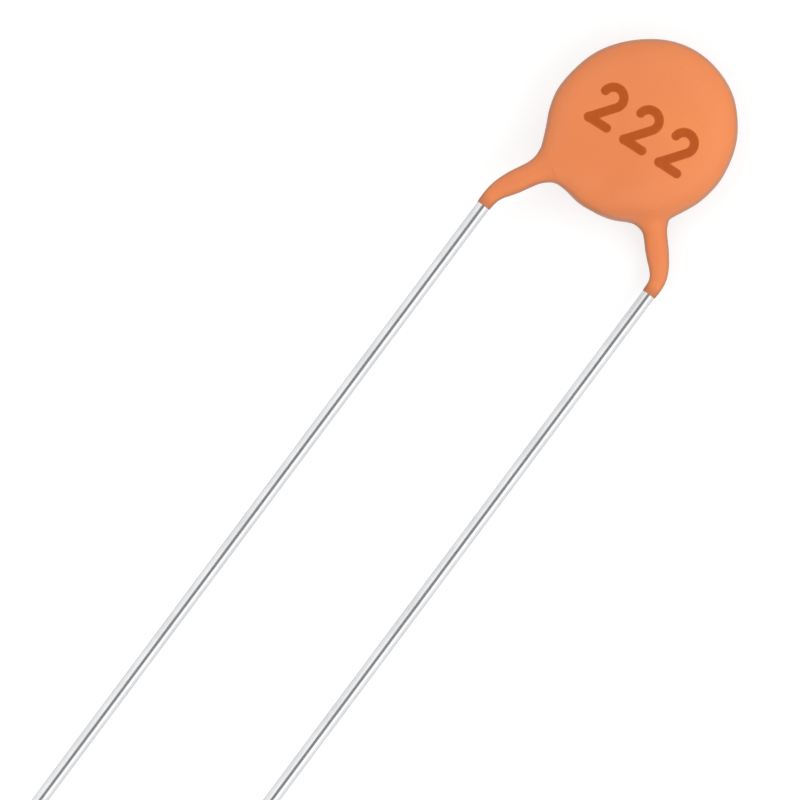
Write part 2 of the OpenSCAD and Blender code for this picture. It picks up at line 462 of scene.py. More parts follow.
@dataclass(frozen=True)
class GrainedFinish:
    """A finish whose tone, gloss and relief all follow one fine grain.

    Three of the pieces inside the coating have it: the sintered titanate ceramic, dull and tan with
    a fine sugary grain; the fired silver paste, pale and matt with a screen-printed tooth; and the
    solder, bright with soft frosty crystals.
    """

    name: str
    high: str
    low: str
    roughness: tuple[float, float]
    grain_size: float
    grain_depth: float
    metallic: float = 0.0
    rises: tuple[float, float] = (0.35, 0.65)  # grain noise where the low tone ends, and the high starts

    def material(self) -> bpy.types.Material:
        """Builds the grained material.

        Returns:
            The material. It reads Object coordinates.
        """
        material, tree = new_material(self.name)
        place = add_node(tree, "TexCoord", output="Object")
        fine = {"Scale": 1 / (self.grain_size * MM), "Detail": 4.0, "Roughness": 0.6}
        grain = add_node(tree, "TexNoise", {**fine, "Vector": place})
        share = add_node(tree, "MapRange", (grain, *self.rises))
        colour = add_node(tree, "Mix", {SHARE: share, UNDER: self.low, OVER: self.high}, **COLOURS)
        gloss = add_node(tree, "MapRange", (grain, *WHOLE, *self.roughness))
        relief = add_node(tree, "Bump", {"Distance": self.grain_depth * MM, "Height": grain})
        grained = {"Base Color": colour, "Roughness": gloss, "Normal": relief}
        shader = add_node(tree, "BsdfPrincipled", {"Metallic": self.metallic, **grained})
        add_node(tree, "OutputMaterial", {"Surface": shader})
        return material


CERAMIC = GrainedFinish("sintered_titanate_ceramic", "#A8866A", "#8E6C50", (0.7, 0.85), 0.06, 0.003)
SILVER = GrainedFinish("fired_silver_paste", "#D8D4CA", "#BDB8AC", (0.45, 0.6), 0.09, 0.002, 1.0)
SOLDER = GrainedFinish("tin_solder", "#CFD1D4", "#AEB1B6", (0.25, 0.4), 0.16, 0.004, 1.0)


@dataclass(frozen=True)
class WhitePaper:
    """Matt white card with a fine tooth, for the floor.

    It takes the object's shadow in its own colour, and to the camera and in reflections it also
    shows the white of a lit studio card.
    """

    shade: str = "#A2A2A2"
    tooth_size: float = 0.5
    tooth_depth: float = 0.01
    tooth_strength: float = 0.3
    own_light: float = 0.7

    def material(self) -> bpy.types.Material:
        """Builds the floor's material.

        Returns:
            The material. It reads Object coordinates and the Light Path.
        """
        material, tree = new_material("matt_white_card")
        place = add_node(tree, "TexCoord", output="Object")
        tooth = add_node(tree, "TexNoise", {"Scale": 1 / (self.tooth_size * MM), "Vector": place})
        pressed = {"Strength": self.tooth_strength, "Distance": self.tooth_depth * MM}
        relief = add_node(tree, "Bump", {**pressed, "Height": tooth})
        paper = add_node(tree, "BsdfDiffuse", {"Color": self.shade, "Normal": relief})
        level = add_node(tree, "Math", (seen_white(tree), self.own_light), operation="MULTIPLY")
        glow = add_node(tree, "Emission", {"Strength": level})
        both = add_node(tree, "AddShader", (paper, glow))
        add_node(tree, "OutputMaterial", {"Surface": both})
        return material


@dataclass(frozen=True)
class GreyCard:
    """Matt grey card over the camera. The wires mirror it as a dark line along their tops."""

    shade: str = "#C0C0C0"

    def material(self) -> bpy.types.Material:
        """Builds the card's material."""
        material, tree = new_material("grey_card")
        card = add_node(tree, "BsdfDiffuse", {"Color": self.shade})
        add_node(tree, "OutputMaterial", {"Surface": card})
        return material


# ---------------------------------------------------------------- the object's pieces


@dataclass
class Lead:
    """One wire lead: straight, then a bend, then a root that runs in over a face of the disc.

    Its axis lies in one plane, parallel to the floor. A distance along it is counted up from the
    start of the bend, so it is negative on the straight wire below.
    """

    side: Side
    bend_angle: float
    bend_drop: float  # from the disc's centre down to the start of the bend
    bend_r: float
    root_length: float = 5.9
    corners: int = 64
    rings: tuple[int, int, int] = (72, 40, 24)  # up the straight, round the bend, along the root
    tip_rings: tuple[float, ...] = (0.25, 0.55, 0.8)  # over the sheared face, in shares of its flat
    roll_rings: int = 7
    edge_r: float = 0.035  # where the shears rolled the rim of the tip
    shear: float = 0.1  # how far the sheared tip slants, from one side to the other
    shear_reach: float = 0.6  # how far up the wire that slant dies out
    radius: float = field(init=False)
    reach: float = field(init=False)
    foot: np.ndarray = field(init=False)

    def __post_init__(self) -> None:
        """Takes the wire's radius, its place and its length from the CAD node and the disc."""
        low, high = (np.array(corner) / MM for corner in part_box(self.side.node))
        disc_low, disc_high = (np.array(corner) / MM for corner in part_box("ceramic_disc"))
        self.radius = float(high[2] - low[2]) / 2
        outer = low[0] + self.radius if self.side is Side.FRONT else high[0] - self.radius
        centre_y = float(disc_low[1] + disc_high[1]) / 2
        self.foot = np.array([outer, centre_y - self.bend_drop, (low[2] + high[2]) / 2])
        self.reach = float(self.foot[1] - low[1])

    def turn_at(self, along: np.ndarray) -> np.ndarray:
        """Angle turned so far, in radians: the distance over the bend's radius, up to the whole."""
        return np.clip(along / self.bend_r, 0, math.radians(self.bend_angle))

    def axis_at(self, along: np.ndarray) -> tuple[np.ndarray, np.ndarray]:
        """Works out points on the wire's axis and the headings there.

        A point is the foot of the bend, plus the chord of the arc turned so far, plus what is left
        of the distance along the heading.

        Args:
            along: distances up from the start of the bend, in millimetres, (n,).

        Returns:
            Points in plan and unit headings towards the disc, each (n, 2).
        """
        turned, inwards = self.turn_at(along), -self.side.value
        heading = np.stack([inwards * np.sin(turned), np.cos(turned)], axis=-1)
        arc = self.bend_r * np.stack([inwards * (1 - np.cos(turned)), np.sin(turned)], axis=-1)
        rest = along - turned * self.bend_r
        return self.foot[:2] + arc + rest[:, None] * heading, heading

    def build(self) -> bpy.types.Object:
        """Carries a circle along the axis.

        At the tip its radius grows over the flat sheared face, then round the rolled rim as a
        quarter circle. The rings there lean forward on their upper side, less and less upwards.

        Returns:
            The lead, which stands for its CAD node.
        """
        bend = math.radians(self.bend_angle) * self.bend_r
        full, face = self.radius, np.array(self.tip_rings) * (self.radius - self.edge_r)
        roll = np.linspace(math.pi / 2, 0, self.roll_rings)
        tip = np.append(np.zeros(len(face)), self.edge_r * (1 - np.sin(roll))) - self.reach
        stops = (self.edge_r - self.reach, 0, bend, bend + self.root_length)
        runs = zip(stops[:-1], stops[1:], self.rings)
        shaft = np.concatenate([np.linspace(start, end, count)[1:] for start, end, count in runs])
        along = np.append(tip, shaft)
        rolled = full - self.edge_r * (1 - np.cos(roll))
        radius = np.concatenate([face, rolled, np.full(len(shaft), full)])
        angle = np.linspace(0, 2 * math.pi, self.corners, endpoint=False)
        across, up = radius[:, None] * np.sin(angle), radius[:, None] * np.cos(angle)
        near_tip = np.clip(1 - (along + self.reach) / self.shear_reach, 0, 1)[:, None]
        slant = self.shear * near_tip * (1 + up / full) / 2
        middle, heading = self.axis_at(along)
        aside = np.stack([heading[:, 1], -heading[:, 0]], axis=-1)
        plan = middle[:, None] + across[..., None] * aside[:, None] + slant[..., None] * heading[:, None]
        rings = np.dstack([plan, self.foot[2] + up])
        ends = np.vstack([rings[0].mean(0), [*middle[-1], self.foot[2]]])
        points, faces = closed_tube(rings, ends)
        piece = make_piece(f"wire_{self.side.name.lower()}", points * MM, faces)
        here = np.broadcast_to(along[:, None], across.shape)
        place = np.dstack([across, up, here]).reshape(-1, 3)
        place = np.vstack([place, [[0, 0, along[0]], [0, 0, along[-1]]]])
        point_attribute(piece, "wire_place", place)
        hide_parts(self.side.node)
        return piece

    def dress(self, piece: bpy.types.Object, finish: TinnedWire) -> None:
        """Gives the lead its tinned finish."""
        piece.data.materials.append(finish.material())


@dataclass
class RunDown:
    """The coating's run down one lead root, from its end up to where it widens into the body."""

    lead: Lead
    end_drop: float  # from the disc's centre down to the end of the coating
    taper: float  # length over which it thickens from its end
    flare_from: float
    flare_gain: float
    outer_share: float  # how much of the widening its outer side takes
    stops: tuple[float, ...]
    feather: float = 0.03
    full_r: float = 0.48
    root_spread: float = 0.4
    root_drift: float = 0.2
    squareness: float = 2.0  # of a round section

    def rows(self, middle_z: float) -> np.ndarray:
        """Works out the run-down's rows.

        Each row stands square to the wire. Its half width eases from the feathered end to the full
        radius, and then widens with the cube of the distance past the flare's start, with only a
        share of that on the outer side. The widening also thickens it by a share and draws its
        middle a little towards the disc's plane.

        Args:
            middle_z: height of the disc's middle plane, in millimetres.

        Returns:
            Outer x and y, inner x and y, half thickness, middle height over the disc's plane and
            squareness of each stop, (n, 7), in the lead's own order from its end to the body.
        """
        stops = np.array(self.stops)
        end = self.lead.radius + self.feather
        radius = end + (self.full_r - end) * smooth_step(stops / self.taper)
        flare = self.flare_gain * np.maximum(0, stops - self.flare_from) ** 3
        middle, heading = self.lead.axis_at(stops - (self.end_drop - self.lead.bend_drop))
        outwards = self.lead.side.value * np.stack([heading[:, 1], -heading[:, 0]], axis=-1)
        outer = middle + (radius + self.outer_share * flare)[:, None] * outwards
        inner = middle - (radius + flare)[:, None] * outwards
        height = (self.lead.foot[2] - middle_z) * (1 - self.root_drift * flare)
        thick = radius + self.root_spread * flare
        return np.column_stack([outer, inner, thick, height, np.full(len(stops), self.squareness)])


@dataclass
class Coating:
    """The one dipped skin over the disc and both lead roots.

    It is lofted from the end of the front run-down, round the body as a fan of sections that turns
    about the lower edge, to the end of the back run-down.
    """

    front: RunDown
    back: RunDown
    width: float = 7.5
    height: float = 7.76
    thickness: float = 2.6
    steps: int = 14  # sections from one row to the next
    easing: int = 14  # passes that ease the stations' curve
    half_corners: int = 56  # corners over each face of a section
    wave: float = 0.006  # half of the most that the drained resin stands proud or low
    wave_lengths: tuple[float, ...] = (4.5, 3.7, 2.9, 2.2, 1.7, 1.3)
    wave_lie: tuple[float, ...] = (1, 1, 0.5)  # how much of a wave's way lies along each axis
    wave_fade: float = 0.5  # share of a run-down over which the waves die out
    film_fade: float = 0.12  # share of a run-down over which the film thins
    seed: int = 7
    lip_rings: int = 6
    lip_depth: float = 0.012  # how far under the wire's skin the lip ends
    pole_depth: float = 0.2  # how far up inside the wire the end is closed
    blending: int = 90  # passes that blend the faces' height from one section to the next
    rim_shade_band: float = 0.24  # how far in from the body's rim the painted rim shade reaches
    # Rim angle and swell, lower edge across and up as shares of the half width and half height,
    # half thickness and middle height as shares of the half thickness, and squareness
    body_rows: tuple[tuple[float, ...], ...] = (
        (224, 1.073, -0.33, -0.983, 0.52, 0.39, 2.1),
        (214, 1.026, -0.26, -0.985, 0.62, 0.31, 2.2),
        (202, 1.018, -0.205, -0.99, 0.72, 0.22, 2.3),
        (186, 1.005, -0.16, -0.996, 0.82, 0.14, 2.4),
        (160, 0.975, -0.11, -1, 0.92, 0.07, 2.5),
        (134, 0.957, -0.06, -1.001, 0.98, 0.02, 2.5),
        (108, 0.985, -0.01, -0.999, 0.997, 0, 2.5),
        (84, 1.009, 0.04, -0.993, 0.997, 0, 2.5),
        (58, 1.028, 0.1, -0.984, 0.98, -0.02, 2.5),
        (32, 1.023, 0.16, -0.975, 0.92, -0.07, 2.5),
        (8, 1.011, 0.22, -0.96, 0.83, -0.14, 2.4),
        (-9, 0.997, 0.29, -0.939, 0.73, -0.22, 2.3),
        (-21, 0.985, 0.36, -0.91, 0.63, -0.3, 2.2),
    )
    centre: np.ndarray = field(init=False)

    def __post_init__(self) -> None:
        """Takes the body's centre from the ceramic disc."""
        low, high = (np.array(corner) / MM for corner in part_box("ceramic_disc"))
        self.centre = (low + high) / 2

    def rows(self) -> np.ndarray:
        """Puts the rows of both run-downs and of the body in one list.

        Returns:
            Rows of seven values, as RunDown.rows gives them, (n, 7).
        """
        half = np.array([self.width, self.height]) / 2
        table = np.array(self.body_rows)
        angle = np.radians(table[:, 0])
        rim = table[:, 1:2] * half * np.stack([np.cos(angle), np.sin(angle)], axis=-1)
        under = half * table[:, 2:4]
        thick, middle = table[:, 4:5] * self.thickness / 2, table[:, 5:6] * self.thickness / 2
        body = np.hstack([self.centre[:2] + rim, self.centre[:2] + under, thick, middle, table[:, 6:]])
        front = self.front.rows(self.centre[2])
        back = self.back.rows(self.centre[2])[::-1]
        return np.vstack([front, body, back])

    def stations(self) -> np.ndarray:
        """Runs a smooth curve through the rows.

        From one row to the next each value follows the cubic whose slope at a row is half the step
        between that row's two neighbours. The first and last rows stand for their own neighbours.
        The curve is then eased along.

        Returns:
            Stations of seven values, (n, 7).
        """
        rows = self.rows()
        padded = np.vstack([rows[:1], rows, rows[-1:]])
        a, b, c, d = (padded[i : i + len(rows) - 1, None] for i in range(4))
        t = (np.arange(self.steps) / self.steps)[None, :, None]
        curve = b + t / 2 * (c - a + t * (2 * a - 5 * b + 4 * c - d + t * (3 * (b - c) + d - a)))
        return eased_along(np.vstack([curve.reshape(-1, rows.shape[1]), rows[-1:]]), self.easing)

    @staticmethod
    def depth_inside(points: np.ndarray, edges: list[np.ndarray]) -> np.ndarray:
        """Measures how deep plan points lie inside the outline.

        The depth is the least distance to any straight piece of the edges: the point's place along
        a piece is held between its ends, and the gap to that place is measured.

        Args:
            points: plan points, (n, 2).
            edges: the outline's edges as lines of points, each (m, 2).

        Returns:
            Depths, (n,).
        """
        start = np.vstack([edge[:-1] for edge in edges])
        run = np.vstack([np.diff(edge, axis=0) for edge in edges])
        least = []
        for part in np.array_split(points, CHUNKS):
            gap = part[:, None] - start
            share = np.clip((gap * run).sum(-1) / (run * run).sum(-1), 0, 1)
            least.append(np.linalg.norm(gap - share[..., None] * run, axis=-1).min(1))
        return np.concatenate(least)

    def sections(self) -> tuple[np.ndarray, np.ndarray]:
        """Works out every section of the skin.

        A section's plan points spread over its line as the cosine of the angle round it. Each face
        stands off the middle by the half thickness times a quarter of a squared circle of the
        point's depth, so the skin is round on the leads and a pillow on the body. The heights are
        then blended along the sections as the stations are. A painted rim shade is laid in a band
        along the outline, whose width goes with the square root of the section's thickness.

        Returns:
            Ring points over the disc's frame, (stations, corners, 3), in millimetres, and how much
            painted rim shade each takes, from 0 to 1 on the outline, (stations, corners).
        """
        rows = self.stations()
        outer, inner = rows[:, :2], rows[:, 2:4]
        spread = np.cos(np.linspace(0, math.pi, self.half_corners + 1))[None, :, None]
        plan = (outer + inner)[:, None] / 2 + spread * (outer - inner)[:, None] / 2
        depth = self.depth_inside(plan.reshape(-1, 2), [outer, inner]).reshape(plan.shape[:2])
        depth[:, [0, -1]] = 0
        share = depth / depth.max(1, keepdims=True)
        square = rows[:, 6:7]
        high = rows[:, 4:5] * np.maximum(0, 1 - (1 - share) ** square) ** (1 / square)
        high = eased_along(high, self.blending)
        upper = np.dstack([plan, rows[:, 5:6] + high])
        lower = np.dstack([plan, rows[:, 5:6] - high])[:, -2:0:-1]
        rings = np.concatenate([upper, lower], axis=1)
        rings[..., 2] += self.centre[2]
        # Painted rim shade: full on the outline, gone a band's width in.
        band = self.rim_shade_band * np.sqrt(2 * rows[:, 4:5] / self.thickness)
        drawn = 1 - smooth_step(depth / band)
        return rings, np.hstack([drawn, drawn[:, -2:0:-1]])

    @staticmethod
    def normals(rings: np.ndarray) -> np.ndarray:
        """Outward unit normals: the cross product of the steps round the tube and along it."""
        along = np.gradient(rings, axis=0)
        round_ = (np.roll(rings, -1, axis=1) - np.roll(rings, 1, axis=1)) / 2
        square = np.cross(round_, along)
        return square / np.maximum(np.linalg.norm(square, axis=-1, keepdims=True), TINY)

    def drained(self, rings: np.ndarray, fade: np.ndarray) -> np.ndarray:
        """Moves the skin in and out by the slow waves that resin keeps as it drains and sets.

        The height is a sum of plane waves in fixed directions, shorter waves lower in proportion,
        faded out at the coating's two ends.

        Args:
            rings: ring points, (stations, corners, 3).
            fade: how much of the wave each station keeps, (stations,).

        Returns:
            The moved ring points.
        """
        random = np.random.default_rng(self.seed)
        lengths = np.array(self.wave_lengths)
        ways = random.normal(size=(len(lengths), 3)) * self.wave_lie
        ways /= np.linalg.norm(ways, axis=1, keepdims=True)
        phases = random.uniform(0, 2 * math.pi, len(lengths))
        turns = rings @ (ways * (2 * math.pi / lengths[:, None])).T + phases
        height = (np.sin(turns) * lengths / lengths.sum()).sum(-1) * 2
        return rings + self.normals(rings) * (self.wave * fade[:, None] * height)[..., None]

    def lip(self, ring: np.ndarray, lead: Lead, inwards: np.ndarray) -> tuple[np.ndarray, np.ndarray]:
        """Rounds the coating's end over and closes it inside the wire.

        The lip is a quarter of an ellipse from the film's outside down to just under the wire's
        skin, as long as the film is thick twice over.

        Args:
            ring: the end section, (corners, 3).
            lead: the lead that it ends on.
            inwards: unit direction from the end back into the coating.

        Returns:
            The lip's rings, from the wire outwards, and the closing pole.
        """
        middle = ring.mean(0)
        out = ring - middle
        radius = np.linalg.norm(out, axis=-1, keepdims=True)
        inside = lead.radius - self.lip_depth
        roll = np.linspace(0, math.pi / 2, self.lip_rings + 1)[:-1, None, None]
        reach = inside + (radius - inside) * np.sin(roll)
        length = 2 * (radius - inside)
        rings = middle + out / radius * reach - inwards * length * np.cos(roll)
        return rings, middle + inwards * self.pole_depth

    def off_ends(self, count: int, share: float) -> np.ndarray:
        """Eases along the skin from 0 at each end to 1 over a share of its run-down.

        Args:
            count: stations along the skin.
            share: share of each run-down's stations that the ease takes.

        Returns:
            The ease at each station, (count,).
        """
        place = np.arange(count)
        first, last = (len(run.stops) * self.steps * share for run in (self.front, self.back))
        return smooth_step(place / first) * smooth_step((count - 1 - place) / last)

    def build(self) -> bpy.types.Object:
        """Builds the skin as one closed surface.

        Returns:
            The coating, which stands for its CAD node.
        """
        rings, rim = self.sections()
        rings = self.drained(rings, self.off_ends(len(rings), self.wave_fade))
        film = self.off_ends(len(rings), self.film_fade)
        up = np.array([0.0, 1.0, 0.0])
        first, first_pole = self.lip(rings[0], self.front.lead, up)
        last, last_pole = self.lip(rings[-1], self.back.lead, up)
        rings = np.concatenate([first, rings, last[::-1]])
        film = np.concatenate([np.zeros(len(first)), film, np.zeros(len(last))])
        rim = np.vstack([rim[:1]] * len(first) + [rim] + [rim[-1:]] * len(last))
        points, faces = closed_tube(rings, np.vstack([first_pole, last_pole]))
        piece = make_piece("dipped_coating", points * MM, faces)
        point_attribute(piece, "film", np.append(np.repeat(film, rings.shape[1]), [0.0, 0.0]))
        # The painted rim shade, for the material to read.
        point_attribute(piece, "rim", np.append(rim.ravel(), [0.0, 0.0]))
        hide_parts("coating")
        return piece

    def dress(self, piece: bpy.types.Object, finish: DippedResin) -> None:
        """Gives the coating its resin finish."""
        piece.data.materials.append(finish.material())


@dataclass(frozen=True)
class Stroke:
    """A straight stroke of a digit, with round ends about its two end points."""

    start: tuple[float, float]
    end: tuple[float, float]
    half_width: float

    def field(self, points: np.ndarray) -> np.ndarray:
        """Signed distance to the stroke, below 0 inside it.

        The stroke's nearest point is the point's own place along it, held between its two ends.

        Args:
            points: (..., 2) points in the digit's own frame.

        Returns:
            Distances, (...).
        """
        run = np.subtract(self.end, self.start)
        local = points - self.start
        share = np.clip(local @ run / (run @ run), 0, 1)
        return np.linalg.norm(local - share[..., None] * run, axis=-1) - self.half_width


@dataclass(frozen=True)
class Arc:
    """A round stroke of a digit: part of a circle, with round ends."""

    centre: tuple[float, float]
    radius: float
    start: float  # its two ends, in degrees round its centre
    end: float
    half_width: float

    def field(self, points: np.ndarray) -> np.ndarray:
        """Signed distance to the arc, below 0 inside it.

        The arc's nearest point lies at the same angle, held between its two ends.

        Args:
            points: (..., 2) points in the digit's own frame.

        Returns:
            Distances, (...).
        """
        middle = math.radians((self.start + self.end) / 2)
        half = math.radians(abs(self.start - self.end) / 2)
        local = points - self.centre
        angle = np.arctan2(local[..., 1], local[..., 0]) - middle
        angle = (angle + math.pi) % (2 * math.pi) - math.pi
        held = middle + np.clip(angle, -half, half)
        nearest = self.radius * np.stack([np.cos(held), np.sin(held)], axis=-1)
        return np.linalg.norm(local - nearest, axis=-1) - self.half_width


@dataclass
class Marking:
    """A plain value, the digit 2 three times over for 2.2 nF, as a thin layer of ink.

    It is centred on the disc, and reads with the leads downwards. The stamp sat slightly askew.
    """

    coating: Coating
    digit_height: float = 2.0
    digit_width: float = 1.25
    gap: float = 0.43  # with digit_width a whole number of pitches, so all digits are cut alike
    stroke: float = 0.4
    count: int = 3
    askew: float = 4.0
    pitch: float = 0.02  # from one grid line of the ink sheet to the next
    thickness: float = 0.012
    sunk: float = 0.003  # how far its edge lies in the resin
    underlay: float = 0.01  # from its upper face down to its closed underside
    shoulder: float = 0.05  # width over which the ink rounds down to its edge
    head_from: float = 170.0  # where a head starts, in degrees round its centre
    merge: float = 0.05  # band over which the neck and the foot flow together
    margin: float = 0.1  # of the grid, round the digits
    search: float = 0.3  # how far round the digits the skin under them is looked up
    facing: float = 0.3  # least upward share of a normal on the front face

    def digit(self) -> tuple[Arc | Stroke, ...]:
        """Lays out the strokes of a 2: a round head, a straight neck that leaves it on its tangent
        and meets the foot at its left end, and the foot.

        Returns:
            The head, the neck and the foot, in a frame at the middle of the digit.
        """
        half = self.stroke / 2
        radius = self.digit_width / 2 - half
        head_y = self.digit_height / 2 - half - radius
        foot_y = half - self.digit_height / 2
        rise = head_y - foot_y
        lean = math.atan2(rise, radius) - math.asin(radius / math.hypot(rise, radius))
        leaves = math.degrees(lean) - 90
        neck_top = (radius * math.sin(lean), head_y - radius * math.cos(lean))
        return (
            Arc((0.0, head_y), radius, self.head_from, leaves, half),
            Stroke(neck_top, (-radius, foot_y), half),
            Stroke((-radius, foot_y), (radius, foot_y), half),
        )

    def ink(self, points: np.ndarray) -> np.ndarray:
        """Signed distance to the whole marking.

        The head and the neck share a tangent, so the lower of their distances joins them. The
        neck and the foot flow together: the lower of the two, less the squared overlap of their
        merging bands over four times a band.

        Args:
            points: (..., 2) points in the marking's own frame.

        Returns:
            Distances, (...).
        """
        places = (np.arange(self.count) - (self.count - 1) / 2) * (self.digit_width + self.gap)
        least = np.full(points.shape[:-1], np.inf)
        for place in places:
            local = points - [place, 0]
            head, neck, foot = (stroke.field(local) for stroke in self.digit())
            overlap = np.maximum(self.merge - np.abs(neck - foot), 0)
            corner = np.minimum(neck, foot) - overlap**2 / (4 * self.merge)
            least = np.minimum(least, np.minimum(head, corner))
        return least

    def face_height(self, skin: bpy.types.Object, plan: np.ndarray) -> np.ndarray:
        """Height of the coating's front face under the marking.

        Each plan point takes the height, there, of the tangent plane at the skin's nearest vertex.

        Args:
            skin: the coating.
            plan: (n, 2) points, in millimetres.

        Returns:
            Heights, (n,), in millimetres.
        """
        count = len(skin.data.vertices)
        points, ways = np.empty(count * 3), np.empty(count * 3)
        skin.data.vertices.foreach_get("co", points)
        skin.data.vertices.foreach_get("normal", ways)
        points, ways = points.reshape(-1, 3) / MM, ways.reshape(-1, 3)
        low, high = plan.min(0) - self.search, plan.max(0) + self.search
        near = (points[:, :2] > low).all(1) & (points[:, :2] < high).all(1)
        near &= ways[:, 2] > self.facing
        points, ways = points[near], ways[near]
        heights = []
        for part in np.array_split(plan, CHUNKS):
            gap = part[:, None] - points[:, :2]
            nearest = (gap * gap).sum(-1).argmin(1)
            step = gap[np.arange(len(part)), nearest]
            fall = (ways[nearest, :2] * step).sum(-1) / ways[nearest, 2]
            heights.append(points[nearest, 2] - fall)
        return np.concatenate(heights)

    def build(self, skin: bpy.types.Object) -> bpy.types.Object:
        """Builds the ink as a sheet on the front face.

        The sheet is the part of a square grid that lies inside the strokes, with its border moved
        out along the distance field's slope onto the strokes' outline. It rises from its edge as
        a quarter circle over its shoulder. Solidify closes it underneath, inside the resin.

        Args:
            skin: the coating that it lies on.

        Returns:
            The ink.
        """
        half_w = (self.count * (self.digit_width + self.gap) - self.gap) / 2 + self.margin
        half_h = self.digit_height / 2 + self.margin
        x, y = (np.arange(-half, half, self.pitch) for half in (half_w, half_h))
        grid = np.stack(np.meshgrid(x, y, indexing="ij"), axis=-1)
        distance = self.ink(grid)
        slope = np.stack(np.gradient(distance, self.pitch), axis=-1)
        slope /= np.maximum(np.linalg.norm(slope, axis=-1, keepdims=True), TINY)
        inside = distance < 0
        cell = cell_corners(inside).all(-1)
        meeting = np.zeros(inside.shape, dtype=int)  # how many kept cells meet at each crossing
        for i, j in ((0, 0), (1, 0), (1, 1), (0, 1)):
            meeting[i : i + cell.shape[0], j : j + cell.shape[1]] += cell
        border = (meeting > 0) & (meeting < 4)
        grid[border] -= (distance[..., None] * slope)[border]
        distance[border] = 0
        used = meeting > 0
        number = np.full(inside.shape, -1)
        number[used] = np.arange(used.sum())
        quads = cell_corners(number)[cell]
        turn = math.radians(self.askew)
        right, up = (math.cos(turn), math.sin(turn)), (-math.sin(turn), math.cos(turn))
        plan = grid[used] @ np.array([right, up]) + self.coating.centre[:2]
        share = np.clip(-distance[used] / self.shoulder, 0, 1)
        rise = self.thickness * np.sqrt(1 - (1 - share) ** 2) - self.sunk
        points = np.column_stack([plan, self.face_height(skin, plan) + rise])
        piece = make_piece("value_marking", points * MM, quads.tolist())
        point_attribute(piece, "ink_depth", share)
        shell = piece.modifiers.new("underside", "SOLIDIFY")
        shell.thickness = self.underlay * MM
        shell.offset = -1
        return piece

    def dress(self, piece: bpy.types.Object, finish: StampedInk) -> None:
        """Gives the marking its ink."""
        piece.data.materials.append(finish.material())


@dataclass(frozen=True)
class Inside:
    """The five pieces inside the coating, which keep their CAD meshes."""

    finishes: tuple[tuple[GrainedFinish, tuple[str, ...]], ...] = (
        (CERAMIC, ("ceramic_disc",)),
        (SILVER, ("front_electrode", "back_electrode")),
        (SOLDER, ("front_solder", "back_solder")),
    )

    def dress(self) -> None:
        """Puts each finish on its CAD nodes, in place of the plain colour that they came with."""
        for finish, names in self.finishes:
            material = finish.material()
            for name in names:
                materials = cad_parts[name].data.materials
                materials.clear()
                materials.append(material)


# ---------------------------------------------------------------- the studio


@dataclass(frozen=True)
class Softbox:
    """A soft lamp panel, aimed at the object."""

    name: str
    place: tuple[float, float, float]  # its middle, in millimetres from the object's
    size: tuple[float, float]
    brightness: float  # radiance of its face, where 1 is white

    def build(self) -> None:
        """Puts the lamp in. Its power is its brightness times pi times its area."""
        data = bpy.data.lights.new(self.name, "AREA")
        data.shape = "RECTANGLE"
        data.size, data.size_y = (side * MM for side in self.size)
        data.energy = self.brightness * math.pi * data.size * data.size_y
        lamp = link_object(self.name, data)
        place = np.array(self.place) * MM
        back = place / np.linalg.norm(place)
        level = np.cross([0.0, 1.0, 0.0], back)
        level /= np.linalg.norm(level)
        turn = np.eye(4)
        turn[:3, 0], turn[:3, 1], turn[:3, 2], turn[:3, 3] = level, np.cross(back, level), back, place
        lamp.matrix_world = Matrix(turn.tolist())


@dataclass(frozen=True)
class Camera:
    """A long lens looking straight down, turned about its own axis."""

    aim: tuple[float, float] = (-1.764, 1.992)  # middle of the frame over the part
    roll: float = 36.72
    frame_width: float = 32.297  # how much of the part's plane the frame takes in
    lens: float = 200.0
    sensor: float = 36.0
    clip: tuple[float, float] = (0.05, 50.0)  # nearest and farthest that it sees, in its own heights

    def build(self, plane_z: float) -> None:
        """Puts the camera in and makes it the scene's.

        Its height over the part's plane is the frame's width times the lens over the sensor.

        Args:
            plane_z: height of the part's middle plane, in metres.
        """
        data = bpy.data.cameras.new("camera")
        data.lens, data.sensor_width = self.lens, self.sensor
        height = self.frame_width * MM * self.lens / self.sensor
        data.clip_start, data.clip_end = (height * share for share in self.clip)
        camera = link_object("camera", data)
        camera.location = (self.aim[0] * MM, self.aim[1] * MM, plane_z + height)
        camera.rotation_euler = (0, 0, math.radians(self.roll))
        bpy.context.scene.camera = camera


